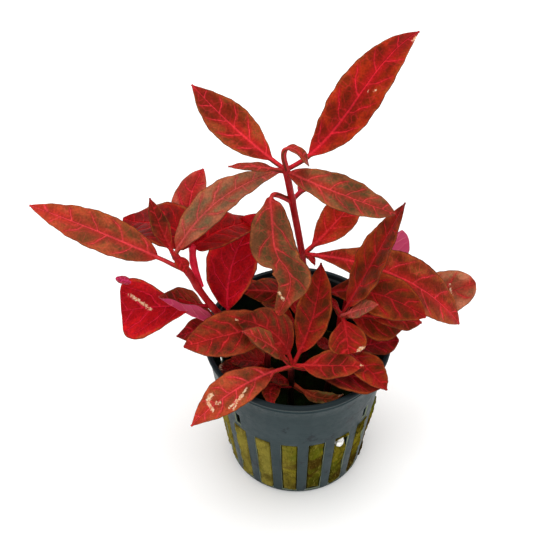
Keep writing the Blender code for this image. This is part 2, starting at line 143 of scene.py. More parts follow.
# Stem routes, root first; each later point is a node that carries leaves
TALL = [(2, 5, 20), (2.5, 5, 44), (2.3, 5, 61), (0.8, 5, 79.5), (-2.2, 4.5, 101.5), (-3.9, 4, 113.5)]
LEFT = [(-7, 1, 20), (-20, 0.5, 53), (-25, 0, 63), (-29, 0, 71.5), (-31.3, 0, 77.5), (-34.8, 1.5, 82.4)]
LEFT_BRANCH = [(-28, 1, 70), (-30, 5, 76), (-30.1, 7.4, 80.3)]
RIGHT = [(8, -3, 20), (11, -4, 48), (12.2, -4.5, 64.5)]
BACK = [(12, 10, 20), (14, 11, 46), (15.5, 12, 60)]
FRONT = [(-2, -7, 20), (-2, -10, 40), (-2.1, -13, 52)]
LOW = [(-7, -6, 20), (-9, -5, 42), (-6.5, -3, 58.6)]

# Midribs of a small curled leaf at the top, of the broad leaf low on the left, and of a leaf behind
CURLED = ((-3.9, 4, 113.5), (-4.8, 4, 118), (-4.7, 4, 120.9), (-3.5, 4, 122),
          (-1.8, 4, 121.5), (-0.1, 4, 119.8), (1.4, 4, 117.6), (2.2, 4, 115.4))
BROAD = ((-25, 0, 63), (-31.5, 1.5, 61.5), (-38.2, 2.5, 60), (-44.8, 3.1, 58.6), (-51.4, 3.2, 57.1))
BEHIND = ((-30, 5, 76), (-31, 10.5, 77.5), (-31.6, 15.5, 80.3), (-31.3, 20.3, 83.6),
          (-30, 25.3, 86.3), (-27.4, 30.4, 88.4))

# Midrib of the leaf that loops up from the tall stem and hangs in front of it
HANGING = ((-2.2, 4.5, 101.5), (-4.4, 3.6, 104.1), (-6.9, 2.4, 106.4), (-8.1, 1, 105.7), (-7.8, -0.6, 102.4),
           (-7.5, -2, 97.5), (-7.1, -3.2, 92.8), (-5.9, -4.2, 88.2), (-3.2, -5.2, 84), (-2.5, -6, 78.7),
           (-3.7, -6.6, 73.5), (-5.9, -7, 67.1))


@dataclass
class Leaf:
    """One blade: its colouring, where it leaves the stem, where it points, and how it is bent."""
    look: str
    at: tuple
    azimuth: float
    rise: float
    length: float
    width: float
    arch: float = 0.0
    dip: float = 0.0
    sway: float = 0.0
    roll: float = 0.0
    fold: float = 8.0
    wave: float = 0.25
    petiole: float = 0.14
    widest: float = 0.48
    full: float = 1.05
    route: tuple = ()
    bites: tuple = ()
    scars: tuple = ()


TALL_LEAVES = [
    Leaf("copper", TALL[5], 144, 24, 35, 11.5, arch=-0.5, sway=0.8, roll=-18),
    Leaf("ember", TALL[5], 38, 28, 52, 14, arch=-1.5, dip=-3, roll=12, widest=0.46, full=0.95,
         scars=((0.59, -1.4, 0.59, -1.4, 0.7), (0.61, -2.9, 0.62, -3.4, 0.6), (0.94, -1.4, 0.97, -0.9, 0.8))),
    Leaf("olive", TALL[5], -16, -14, 31.5, 10.9, arch=-0.5, roll=15, petiole=0.02, full=0.72,
         bites=((0.27, -1, 0.22, 5),)),
    Leaf("olive", TALL[5], -177, 9, 16, 3.6, arch=0.5, wave=0),
    Leaf("olive", TALL[5], 0, 0, 19, 4.6, petiole=0.3, widest=0.6, wave=0, route=CURLED),
    Leaf("olive", TALL[4], -108, -72, 51, 14.5, petiole=0.25, widest=0.52, full=0.62, route=HANGING,
         bites=((0.3, -1, 0.4, 3), (0.69, -1, 0.35, 1.6), (0.85, -1, 0.4, 9), (0.93, 1, 0.5, 5)),
         scars=((0.89, -2.4, 0.91, -0.7, 0.9),)),
    Leaf("crimson", TALL[4], 61, -30, 26.5, 8, arch=3),
    Leaf("tomato", TALL[3], 43, 24, 26, 10.6, arch=-2, roll=10, widest=0.54, full=0.95),
    Leaf("chestnut", TALL[3], -21, -43, 5, 2.6, arch=1, wave=0),
    Leaf("copper", TALL[3], 3, -35, 58, 15, arch=7, roll=30, petiole=0.04, widest=0.58, full=0.84),
    Leaf("chestnut", TALL[2], -17, 6, 35.5, 13, arch=7, roll=30, widest=0.62, full=0.9),
    Leaf("umber", TALL[2], 173, 1, 19.5, 9.5, arch=1, roll=-40, fold=-36),
    Leaf("chestnut", TALL[1], 112, 24, 32.5, 6, arch=2),
    Leaf("chestnut", (2.5, 5, 42.5), 144, 24, 29, 6, arch=2),
]
LEFT_LEAVES = [
    Leaf("rust", LEFT[4], 162, 14, 49, 11.4, arch=1, roll=-25, petiole=0.2, widest=0.42, full=0.88),
    Leaf("fawn", LEFT[5], 22.8, 32, 38.6, 11.8, arch=2, sway=4, roll=5, petiole=0.04, widest=0.38),
    Leaf("umber", LEFT[5], 128, 52.6, 18.5, 5.6, arch=1, sway=1, wave=0),
    Leaf("chestnut", LEFT[5], -54, -30, 5.6, 4.2, arch=1, petiole=0.02, wave=0),
    Leaf("russet", (-20, 1.2, 53), -178, 34, 24, 15.5, arch=-1.5, roll=27, fold=38, widest=0.5),
    Leaf("crimson", LEFT[2], 179, -12, 27, 18.6, roll=-30, widest=0.8, full=0.3, route=BROAD,
         bites=((0.45, -1, 0.4, 6),),
         scars=((0.88, -4.5, 0.67, 0.8, 0.9),)),
    Leaf("petal", (-48.6, 9.4, 62.7), 172, 14, 4.6, 2.8, roll=-20, petiole=0, full=0.6, wave=0),
    Leaf("maroon", LEFT[1], 178, -15, 16, 8, arch=1, roll=-10),
    Leaf("crimson", LEFT[1], 67, 50, 34.3, 15.5, arch=1, sway=3.9, full=0.8),
    Leaf("scarlet", LEFT_BRANCH[2], 144, -9, 25.5, 15.5, arch=3.2, dip=1.6, roll=-10, petiole=0,
         widest=0.36, full=0.7),
    Leaf("scarlet", LEFT_BRANCH[2], 39, -14, 24, 11, arch=3, roll=10, petiole=0, widest=0.36, full=0.7),
    Leaf("coral", LEFT_BRANCH[1], 82, 32, 28, 10.3, petiole=0.25, widest=0.5, route=BEHIND),
]
RIGHT_LEAVES = [
    Leaf("chestnut", RIGHT[2], 22, 65.8, 42.5, 13, sway=-0.3, petiole=0.08, widest=0.42),
    Leaf("fawn", (12.4, -5.2, 64.3), -37, 47, 17.5, 5.8, roll=25, wave=0),
    Leaf("chestnut", RIGHT[2], 15, -25, 22.5, 13, roll=35),
    Leaf("chestnut", RIGHT[2], -80, -32, 11.5, 11.5, arch=2, widest=0.68, full=0.5,
         scars=((0.95, 2.4, 0.86, 4.6, 0.7),)),
    Leaf("chestnut", RIGHT[2], 115, 4, 7, 2, wave=0),
    Leaf("maroon", RIGHT[1], 1, 13, 18.5, 9, roll=10, widest=0.7, full=0.8),
    Leaf("maroon", RIGHT[1], 9, -4, 13, 5.5, roll=10),
    Leaf("maroon", RIGHT[1], -38, 36, 12, 5.5, roll=10),
    Leaf("russet", RIGHT[2], 2, -12, 23.5, 6.5, roll=20, widest=0.7),
    Leaf("umber", RIGHT[1], 165, 25, 6.5, 4.5, wave=0),
    Leaf("chestnut", (11.3, -4.1, 51.5), -55, 6, 23.5, 9.5, arch=1.5, widest=0.55),
]
BACK_LEAVES = [
    Leaf("blush", BACK[2], 11, -12, 39, 13.5, arch=-7, roll=28, widest=0.72, full=0.5,
         scars=((0.83, 2.3, 0.83, -1.5, 0.6),)),
    Leaf("orchid", BACK[2], 42, 18, 22, 16, sway=-2, roll=150, widest=0.52, full=0.8),
]
FRONT_LEAVES = [
    Leaf("chestnut", FRONT[2], 66, 50, 31, 10.5, arch=1, sway=-2.3, petiole=0.12),
    Leaf("olive", FRONT[2], -161, 54, 24.5, 8.5, arch=1.2, roll=-15),
    Leaf("rust", FRONT[2], -151, -13, 33.5, 11.5, arch=4.2, roll=-12,
         scars=((0.71, -2.9, 0.77, -2.0, 1.2), (0.77, -2.0, 0.78, 1.3, 1.0), (0.72, 0.0, 0.70, 0.6, 1.0),
                (0.65, 3.7, 0.51, 3.0, 0.8), (0.44, 1.4, 0.52, 2.6, 0.5), (0.52, 2.6, 0.64, 5.1, 0.6))),
    Leaf("russet", FRONT[2], -13, 14, 21.5, 9.5, roll=14,
         scars=((0.96, 0.3, 1.0, 0.2, 0.7),)),
    Leaf("maroon", FRONT[2], -11, -2, 28.5, 13.5, arch=-0.3, roll=-5, fold=4, widest=0.65, full=0.8),
    Leaf("umber", FRONT[2], 152, 29, 21, 13, arch=6.5, roll=-24,
         scars=((0.97, 0.3, 1.0, 0.2, 0.7),)),
    Leaf("umber", FRONT[1], -150, 40, 12, 7.5, arch=1),
    Leaf("russet", FRONT[1], -112, 21, 14, 5.5, arch=1, sway=-3.5, widest=0.5),
    Leaf("mossy", FRONT[1], -28, 14, 17, 5, arch=-4,
         scars=((0.9, 0.3, 1.0, 0.1, 0.7),)),
]
LOW_LEAVES = [
    Leaf("russet", LOW[2], -162, 0, 28, 14, arch=0.5, roll=-22, petiole=0.02, full=0.85),
    Leaf("umber", LOW[1], -175, 15, 11.5, 7.5, arch=1),
    Leaf("umber", LOW[1], -177, 0, 14.5, 6.5, widest=0.7, full=0.6,
         scars=((0.93, -2.2, 0.96, 0.6, 0.9),)),
    Leaf("umber", LOW[1], 160, 20, 9.5, 8, petiole=0.05, widest=0.4),
]
LEAFY_STEMS = {
    "tall_leafy_stem": ([TALL], TALL_LEAVES),
    "left_leafy_stem": ([LEFT, LEFT_BRANCH], LEFT_LEAVES),
    "right_leafy_stem": ([RIGHT], RIGHT_LEAVES),
    "back_leafy_stem": ([BACK], BACK_LEAVES),
    "front_leafy_stem": ([FRONT], FRONT_LEAVES),
    "low_leafy_stem": ([LOW], LOW_LEAVES),
}


def srgb(red, green, blue):
    """A linear colour from the 0 to 255 values a colour picker shows."""
    shares = [value / 255 for value in (red, green, blue)]
    return tuple(c / 12.92 if c <= 0.04045 else ((c + 0.055) / 1.055) ** 2.4 for c in shares)


def seen(red, green, blue):
    """The pigment that shows as this colour under the studio's light."""
    return tuple(share / STUDIO_BRIGHTNESS for share in srgb(red, green, blue))


@dataclass
class Look:
    """A leaf's colours, 0 to 255: between the veins, near the margin, on veins, at the tip, and below."""
    inner: tuple
    outer: tuple
    vein: tuple
    tip: tuple = ()
    under: tuple = (186, 50, 92)


LOOKS = {
    "ember": Look((122, 24, 2), (160, 40, 10), (216, 34, 48)),
    "copper": Look((122, 32, 6), (150, 62, 28), (222, 48, 56)),
    "rust": Look((112, 60, 30), (164, 70, 40), (222, 62, 66), (190, 66, 36)),
    "olive": Look((100, 62, 34), (132, 74, 44), (206, 60, 58)),
    "fawn": Look((130, 92, 64), (168, 94, 66), (204, 80, 74)),
    "chestnut": Look((98, 34, 6), (138, 48, 14), (182, 30, 34)),
    "russet": Look((104, 38, 14), (144, 54, 26), (200, 42, 44)),
    "umber": Look((72, 32, 10), (104, 44, 20), (166, 32, 32)),
    "tomato": Look((154, 38, 12), (188, 64, 32), (224, 46, 50)),
    "scarlet": Look((104, 8, 0), (136, 18, 4), (184, 12, 20)),
    "crimson": Look((176, 4, 14), (208, 18, 26), (216, 24, 50), (), (206, 60, 110)),
    "maroon": Look((86, 16, 8), (122, 34, 18), (176, 26, 38)),
    "blush": Look((152, 78, 52), (186, 110, 80), (200, 52, 50)),
    "coral": Look((168, 50, 36), (192, 78, 64), (216, 46, 56)),
    "orchid": Look((140, 30, 60), (182, 84, 112), (196, 40, 92)),
    "mossy": Look((96, 82, 30), (150, 134, 72), (186, 72, 44)),
    "petal": Look((222, 84, 120), (232, 140, 160), (226, 60, 110)),
}

RED_STEM = seen(170, 18, 24)
PINK_STEM = seen(236, 30, 62)
DARK_STEM = seen(66, 16, 12)


class Graph:
    """A material's node tree, with short calls for the nodes used here."""

    def __init__(self, name):
        self.material = bpy.data.materials.new(name)
        self.material.use_nodes = True
        self.tree = self.material.node_tree
        self.shader = self.tree.nodes["Principled BSDF"]
        self.place = self.node("ShaderNodeTexCoord").outputs["Object"]

    def node(self, kind, **settings):
        made = self.tree.nodes.new(kind)
        for key, value in settings.items():
            setattr(made, key, value)
        return made

    def feed(self, socket, value):
        if isinstance(value, bpy.types.NodeSocket):
            self.tree.links.new(value, socket)
        elif isinstance(value, tuple) and len(value) == 3 and socket.type == "RGBA":
            socket.default_value = (*value, 1.0)
        else:
            socket.default_value = value

    def math(self, operation, *values):
        made = self.node("ShaderNodeMath", operation=operation)
        for socket, value in zip(made.inputs, values):
            self.feed(socket, value)
        return made.outputs[0]

    def add(self, first, second):
        return self.math("ADD", first, second)

    def times(self, first, second):
        return self.math("MULTIPLY", first, second)

    def ease(self, value, start, end, low=0.0, high=1.0):
        """low before start, high after end, and a smooth step between them."""
        made = self.node("ShaderNodeMapRange", interpolation_type="SMOOTHSTEP")
        for name, given in zip(("Value", "From Min", "From Max", "To Min", "To Max"),
                               (value, start, end, low, high)):
            self.feed(made.inputs[name], given)
        return made.outputs["Result"]

    def fade(self, value, start, end):
        """1 before start and 0 after end."""
        return self.ease(value, start, end, 1.0, 0.0)

    def mix(self, share, first, second, blend="MIX"):
        made = self.node("ShaderNodeMix", data_type="RGBA", blend_type=blend)
        self.feed(made.inputs[0], share)
        self.feed(made.inputs[6], first)
        self.feed(made.inputs[7], second)
        return made.outputs[2]

    def noise(self, scale, detail=3.0, roughness=0.55, place=None, distortion=0.0):
        made = self.node("ShaderNodeTexNoise")
        self.feed(made.inputs["Vector"], place or self.place)
        made.inputs["Scale"].default_value = scale
        made.inputs["Detail"].default_value = detail
        made.inputs["Roughness"].default_value = roughness
        made.inputs["Distortion"].default_value = distortion
        return made.outputs["Fac"]

    def cells(self, scale, feature="DISTANCE_TO_EDGE"):
        made = self.node("ShaderNodeTexVoronoi", feature=feature)
        self.feed(made.inputs["Vector"], self.place)
        made.inputs["Scale"].default_value = scale
        return made.outputs["Distance"]

    def stretched(self, x, y, z):
        made = self.node("ShaderNodeMapping")
        self.feed(made.inputs["Vector"], self.place)
        made.inputs["Scale"].default_value = (x, y, z)
        return made.outputs["Vector"]

    def value(self, name):
        return self.node("ShaderNodeAttribute", attribute_name=name).outputs["Fac"]

    def colour(self, name):
        return self.node("ShaderNodeAttribute", attribute_name=name).outputs["Color"]

    def measure(self, axis):
        """The shaded point's place along one axis, in metres: 0 is to the right and 2 is up."""
        made = self.node("ShaderNodeSeparateXYZ")
        self.feed(made.inputs[0], self.place)
        return made.outputs[axis]

    def height(self):
        return self.measure(2)

    def bump(self, height, distance, strength=1.0):
        made = self.node("ShaderNodeBump")
        self.feed(made.inputs["Height"], height)
        made.inputs["Distance"].default_value = distance
        made.inputs["Strength"].default_value = strength
        self.feed(self.shader.inputs["Normal"], made.outputs["Normal"])

    def surface(self, colour, roughness, specular):
        self.feed(self.shader.inputs["Base Color"], colour)
        self.feed(self.shader.inputs["Roughness"], roughness)
        self.shader.inputs["Specular IOR Level"].default_value = specular
        return self.material


def leaf_veins(g):
    """Masks of the midrib, the curved side veins and their glow, from each leaf's own measures."""
    along = g.value("leaf_along")
    across = g.value("leaf_across")
    reach = g.value("leaf_reach")
    edge = g.value("leaf_edge")
    spacing = g.value("leaf_spacing")
    apart = g.math("ABSOLUTE", across)
    wander = g.times(g.add(g.noise(180.0, 1.5), -0.5), 4.2)
    forward = g.add(g.times(apart, 0.5), g.times(g.times(apart, apart), 0.11))
    start = g.add(g.math("SUBTRACT", along, forward), wander)
    side = g.times(g.math("GREATER_THAN", across, 0.0), VEIN_SHIFT)
    phase = g.add(g.math("DIVIDE", start, spacing), g.add(side, g.value("leaf_seed")))
    gap = g.times(g.math("ABSOLUTE", g.add(g.math("FRACT", phase), -0.5)), spacing)
    rib_width = g.ease(reach, 0.0, 1.0, 0.52, 0.2)
    rib = g.fade(apart, g.times(rib_width, 0.25), g.times(rib_width, 1.3))
    clear = g.times(g.ease(start, -0.6, 0.8), g.fade(edge, 0.66, 0.98))
    patchy = g.ease(g.noise(330.0, 2.0), 0.36, 0.6, 0.45, 1.0)
    lateral = g.times(g.times(g.fade(gap, 0.1, 0.5), clear), patchy)
    glow = g.times(g.fade(gap, 0.2, 1.9), g.times(clear, patchy))
    glow = g.math("MAXIMUM", glow, g.fade(apart, 0.4, 2.6))
    return {"rib": rib, "lateral": lateral, "glow": glow, "along": along, "edge": edge}


def leaf_top_material():
    g = Graph("leaf_top")
    v = leaf_veins(g)
    vein = g.colour("leaf_vein")
    broad = g.noise(140.0, 3.0, 0.5, distortion=0.5)
    cloud = g.noise(360.0, 4.0, 0.6, distortion=0.3)
    grain = g.noise(1700.0, 3.0, 0.6)
    margin = g.ease(g.add(v["edge"], g.times(g.add(broad, -0.5), 2.4)), 0.3, 1.0)
    blade = g.mix(margin, g.colour("leaf_inner"), g.colour("leaf_outer"))
    olive = g.times(g.ease(cloud, 0.42, 0.62), g.fade(v["glow"], 0.1, 0.7))
    blade = g.mix(g.times(olive, 0.6), blade, g.mix(1.0, blade, (0.66, 1.2, 0.95), "MULTIPLY"))
    ember = g.mix(1.0, vein, (0.60, 0.40, 0.25), "MULTIPLY")
    blade = g.mix(g.times(v["glow"], g.ease(broad, 0.3, 0.6, 0.3, 0.8)), blade, ember)
    flush = g.times(g.fade(v["along"], -1.0, 8.0), 0.65)
    blade = g.mix(flush, blade, seen(168, 8, 20))
    net = g.times(g.fade(g.cells(430.0), 0.0, 0.1), g.ease(cloud, 0.4, 0.6, 0.05, 0.3))
    blade = g.mix(net, blade, vein)
    blade = g.mix(v["lateral"], blade, vein)
    blade = g.mix(g.times(v["rib"], 0.9), blade, vein)
    tan = g.times(g.ease(v["edge"], 0.84, 0.95), g.ease(cloud, 0.42, 0.6, 0.1, 0.6))
    blade = g.mix(tan, blade, seen(176, 84, 34))
    # Painted shade: a thin dark line along the blade's very edge, for its shaded thickness.
    blade = g.mix(g.ease(v["edge"], 0.955, 0.99, 0.0, 0.7), blade, seen(62, 32, 20))
    lit = g.times(g.ease(grain, 0.25, 0.75, 0.74, 1.24), g.ease(broad, 0.3, 0.7, 0.8, 1.17))
    grey = g.node("ShaderNodeCombineColor")
    for socket in grey.inputs:
        g.feed(socket, lit)
    blade = g.mix(1.0, blade, grey.outputs[0], "MULTIPLY")
    flakes = g.times(g.add(g.noise(1200.0, 4.0, 0.8), -0.5), 3.0)
    mark = g.value("leaf_scar")
    scar = g.ease(g.add(mark, g.times(flakes, g.ease(mark, 0.0, 0.3))), 0.42, 0.8, 0.0, 0.85)
    blade = g.mix(scar, blade, g.mix(g.ease(grain, 0.35, 0.65), seen(232, 150, 104), seen(244, 226, 190)))
    relief = g.add(g.times(g.math("MAXIMUM", v["rib"], v["lateral"]), -1.0), g.times(grain, 0.35))
    g.bump(g.add(relief, g.times(cloud, 0.7)), 0.25 * MM, 0.9)
    return g.surface(blade, g.ease(grain, 0.2, 0.8, 0.36, 0.55), 0.05)


def leaf_under_material():
    g = Graph("leaf_under")
    v = leaf_veins(g)
    under = g.colour("leaf_under")
    mottle = g.noise(170.0, 4.0, 0.6)
    blade = g.mix(g.ease(mottle, 0.3, 0.7, 0.0, 0.4), under, g.colour("leaf_outer"))
    blade = g.mix(g.times(v["lateral"], 0.5), blade, seen(226, 100, 124))
    blade = g.mix(g.times(v["rib"], 0.75), blade, seen(226, 88, 108))
    stalk = g.mix(1.0, g.colour("leaf_vein"), (0.7, 0.55, 0.5), "MULTIPLY")
    blade = g.mix(g.times(g.fade(v["along"], -0.5, 5.0), 0.9), blade, stalk)
    relief = g.add(g.math("MAXIMUM", v["rib"], v["lateral"]), g.times(g.noise(800.0, 2.0), 0.3))
    g.bump(relief, 0.3 * MM, 0.8)
    return g.surface(blade, 0.55, 0.08)


def stem_material():
    g = Graph("stem")
    tone = g.colour("leaf_vein")
    streaks = g.noise(900.0, 3.0, 0.6, place=g.stretched(1.0, 1.0, 0.08))
    blush = g.noise(120.0, 3.0, 0.6)
    flesh = g.mix(g.ease(streaks, 0.3, 0.7), g.mix(1.0, tone, (0.6, 0.4, 0.4), "MULTIPLY"), tone)
    flesh = g.mix(g.ease(blush, 0.5, 0.75, 0.0, 0.5), flesh, seen(214, 74, 78))
    # Painted shade: the stems darken to near black low down, inside the pot and under the leaves.
    low = g.fade(g.height(), 38 * MM, 56 * MM)
    flesh = g.mix(g.times(low, 0.93), flesh, seen(28, 14, 8))
    g.bump(streaks, 0.2 * MM, 0.7)
    return g.surface(flesh, 0.42, 0.12)


def plastic_material():
    """Slate plastic with dust and scuffs outside, painted shade on the lip and inside, and painted highlights
    under the lip and along the slot edges.
    """
    g = Graph("slate_plastic")
    cloud = g.noise(60.0, 5.0, 0.6)
    dust = g.noise(420.0, 5.0, 0.7)
    tone = g.mix(g.ease(cloud, 0.35, 0.7), seen(38, 53, 56), seen(48, 62, 65))
    tone = g.mix(g.ease(dust, 0.58, 0.8, 0.0, 0.15), tone, seen(104, 110, 102))
    smudge = g.times(g.ease(g.noise(190.0, 4.0, 0.7), 0.57, 0.63), g.ease(cloud, 0.44, 0.54))
    tone = g.mix(g.times(smudge, 0.7), tone, seen(18, 24, 32))
    crumbs = g.fade(g.cells(150.0, "F1"), 0.02, 0.05)
    tone = g.mix(g.times(crumbs, g.ease(g.noise(40.0), 0.5, 0.54)), tone, seen(196, 200, 188))
    # Painted shade: the lip's top is darkened, though it faces the light.
    lip = g.ease(g.height(), 48.5 * MM, 48.9 * MM, 0.0, 0.85)
    tone = g.mix(lip, tone, seen(22, 32, 35))
    # Painted highlight: a thin light line just under the lip.
    painted_lip_highlight = g.times(g.ease(g.height(), 47.5 * MM, 47.9 * MM), g.ease(g.height(), 48.8 * MM, 48.4 * MM))
    tone = g.mix(g.times(painted_lip_highlight, 0.55), tone, seen(122, 132, 128))
    # Painted highlight: thin light lines along the slot edges, below 38 mm.
    outward = g.value("pot_outward")
    edge = g.times(g.ease(outward, 0.45, 0.65), g.fade(outward, 0.97, 1.0))
    edge = g.times(edge, g.fade(g.height(), 38 * MM, 40 * MM))
    tone = g.mix(g.times(edge, 0.8), tone, seen(150, 160, 132))
    # Painted shade: the inside of the wall darkens to green-black, the more so the deeper it lies.
    inside = g.fade(outward, 0.1, 0.3)
    painted_inner_shade = g.mix(g.ease(g.noise(140.0, 4.0), 0.4, 0.65), seen(8, 15, 12), seen(16, 30, 12))
    inner_shade_depth = g.ease(g.height(), 48.6 * MM, 45.5 * MM, 0.35, 0.96)
    tone = g.mix(g.times(inside, inner_shade_depth), tone, painted_inner_shade)
    marks = g.noise(500.0, 3.0, 0.6, place=g.stretched(0.25, 0.25, 3.0))
    g.bump(g.add(marks, g.times(dust, 0.5)), 0.05 * MM, 0.6)
    return g.surface(tone, g.ease(dust, 0.3, 0.7, 0.32, 0.5), 0.09)


def rockwool_material():
    """Yellow-olive fibre with green and brown patches, painted shade in the crevices between threads, and a
    mossy top darkened to near black by painted shade.
    """
    g = Graph("rockwool")
    lumps = g.noise(150.0, 5.0, 0.7, distortion=0.6)
    threads = g.noise(1100.0, 4.0, 0.7, place=g.stretched(1.0, 1.0, 0.35), distortion=1.2)
    wool = g.mix(g.ease(lumps, 0.34, 0.6), seen(52, 44, 4), seen(124, 112, 28))
    wool = g.mix(g.ease(g.noise(70.0, 3.0), 0.5, 0.62, 0.0, 0.75), wool, seen(78, 86, 16))
    wool = g.mix(g.ease(g.noise(85.0, 4.0, distortion=0.5), 0.52, 0.64, 0.0, 0.8), wool, seen(64, 40, 12))
    wool = g.mix(g.ease(g.height(), 15 * MM, 2 * MM, 0.0, 0.6), wool, seen(48, 33, 8))
    bleached = g.times(g.ease(g.measure(0), 2 * MM, -9 * MM, 0.0, 0.6), g.ease(lumps, 0.3, 0.55, 0.4, 1.0))
    wool = g.mix(bleached, wool, seen(154, 141, 66))
    wool = g.mix(g.ease(threads, 0.5, 0.8, 0.0, 0.55), wool, seen(172, 158, 76))
    # Painted shade: dark crevices between the threads.
    wool = g.mix(g.ease(threads, 0.2, 0.44, 0.6, 0.0), wool, seen(26, 22, 4))
    # Painted shade: near black on the plug's top and behind the ribs, tinted green as it is mossy
    moss_and_shade = g.mix(g.ease(g.noise(260.0, 4.0), 0.4, 0.65), seen(4, 10, 4), seen(14, 34, 8))
    wool = g.mix(g.times(g.value("wool_moss_and_shade"), 0.97), wool, moss_and_shade)
    g.bump(g.add(threads, lumps), 0.6 * MM, 1.0)
    return g.surface(wool, 0.85, 0.0)


def granule_material():
    g = Graph("white_mineral")
    pits = g.noise(900.0, 5.0, 0.7)
    tone = g.mix(g.ease(pits, 0.3, 0.6), srgb(186, 184, 176), srgb(250, 250, 247))
    g.bump(g.add(pits, g.cells(700.0)), 0.3 * MM, 0.9)
    return g.surface(tone, 0.6, 0.3)


def floor_material():
    g = Graph("pale_floor")
    tone = g.mix(g.noise(6.0, 2.0), (0.94, 0.94, 0.93), (0.96, 0.96, 0.95))
    return g.surface(tone, 0.9, 0.0)


def add_object(name, data):
    obj = bpy.data.objects.new(name, data)
    bpy.context.scene.collection.objects.link(obj)
    return obj


def add_shape(name, bm):
    mesh = bpy.data.meshes.new(name)
    bm.to_mesh(mesh)
    bm.free()
    return add_object(name, mesh)


def baked(obj):
    """Swaps the object for a mesh with its modifiers applied."""
    mesh = bpy.data.meshes.new_from_object(obj.evaluated_get(bpy.context.evaluated_depsgraph_get()))
    name = obj.name
    bpy.data.objects.remove(obj)
    return add_object(name, mesh)


def shade(mesh, angle=40.0):
    mesh.shade_smooth()
    mesh.set_sharp_from_angle(angle=math.radians(angle))


class Skin:
    """Vertices, faces and per-vertex values of several surfaces, gathered into one mesh."""

    def __init__(self):
        self.points = []
        self.faces = []
        self.slots = []
        self.values = {}
        self.count = 0

    def add(self, points, faces, slots, values):
        self.points.append(points)
        self.faces.append(faces + self.count)
        self.slots.append(slots)
        for name, data in values.items():
            self.values.setdefault(name, []).append(data)
        self.count += len(points)

    def object(self, name, materials):
        points = np.concatenate(self.points) * MM
        faces = np.concatenate(self.faces)
        mesh = bpy.data.meshes.new(name)
        mesh.from_pydata(points.tolist(), [], faces.tolist())
        mesh.polygons.foreach_set("material_index", np.concatenate(self.slots))
        for key, parts in self.values.items():
            data = np.concatenate(parts).astype(np.float32)
            kind = "FLOAT_COLOR" if data.ndim == 2 else "FLOAT"
            layer = mesh.attributes.new(key, kind, "POINT")
            layer.data.foreach_set("color" if data.ndim == 2 else "value", data.ravel())
        for material in materials:
            mesh.materials.append(material)
        shade(mesh, 60.0)
        mesh.validate()
        return add_object(name, mesh)


def grid_faces(rows, columns):
    """Quads of a grid whose points are numbered row by row."""
    index = np.arange(rows * columns).reshape(rows, columns)
    corners = [index[:-1, :-1], index[1:, :-1], index[1:, 1:], index[:-1, 1:]]
    return np.stack(corners, axis=-1).reshape(-1, 4)


def unit(vectors):
    return vectors / np.maximum(np.linalg.norm(vectors, axis=-1, keepdims=True), 1e-9)


def half_widths(leaf, s):
    """Half of the blade's width at each s, from 0 at the stem to 1 at the tip."""
    x = np.clip((s - leaf.petiole) / (1.0 - leaf.petiole), 0.0, 1.0)
    power = leaf.full * leaf.widest / (1.0 - leaf.widest)
    peak = leaf.widest ** power * (1.0 - leaf.widest) ** leaf.full
    blade = leaf.width / 2 * x ** power * (1.0 - x) ** leaf.full / peak
    stalk = STALK_HALF_WIDTH + (TIP_HALF_WIDTH - STALK_HALF_WIDTH) * x
    return np.maximum(stalk, blade)


def curve(points, shares):
    """Points of the smooth curve through the given ones, and the way it runs at each."""
    points = np.array(points, dtype=float)
    place = shares * (len(points) - 1)
    i = np.minimum(place.astype(int), len(points) - 2)
    t = (place - i)[:, None]
    p0, p1, p2 = points[np.maximum(i - 1, 0)], points[i], points[i + 1]
    p3 = points[np.minimum(i + 2, len(points) - 1)]
    first = p2 - p0
    second = 2 * p0 - 5 * p1 + 4 * p2 - p3
    third = 3 * p1 - p0 - 3 * p2 + p3
    return p1 + (first * t + second * t * t + third * t ** 3) / 2, first + 2 * second * t + 3 * third * t * t


def bitten(leaf, s, v):
    """The share of the blade's width that is left at each point of the grid."""
    left = np.ones((len(s), len(v)))
    for place, side, depth, reach in leaf.bites:
        notch = 1 - depth * np.exp(-((s - place) * leaf.length / reach) ** 2)
        left = np.where(v[None] * side > 0, left * notch[:, None], left)
    return left


def midribs(leaf, s):
    """The midrib's points and directions, and the frame that the blade is rolled in."""
    azimuth = math.radians(leaf.azimuth)
    rise = math.radians(leaf.rise)
    along = np.array([math.cos(azimuth) * math.cos(rise), math.sin(azimuth) * math.cos(rise), math.sin(rise)])
    level = np.array([-math.sin(azimuth), math.cos(azimuth), 0.0])
    if leaf.route:
        points, slopes = curve(leaf.route, s)
        return points, unit(slopes), along, level
    above = np.cross(along, level)
    s = s[:, None]
    bulge = 4 * s * (1 - s)
    bend = 10.4 * s * (1 - s) * (1 - 2 * s)
    points = (np.array(leaf.at) + along * leaf.length * s
              + above * (leaf.arch * bulge + leaf.dip * bend)
              + level * leaf.sway * bulge)
    slopes = (along * leaf.length
              + above * (leaf.arch * 4 * (1 - 2 * s) + leaf.dip * 10.4 * (1 - 6 * s + 6 * s * s))
              + level * leaf.sway * 4 * (1 - 2 * s))
    return points, unit(slopes), along, level


def edge_waves(leaf, s, seed, phase):
    """Small waves along the blade, by which it widens and narrows."""
    return (0.09 * np.sin(math.tau * (leaf.length / 6 * s + 0.6 * seed) + phase)
            + 0.05 * np.sin(math.tau * (leaf.length / 2.7 * s + seed) + 3 * phase))


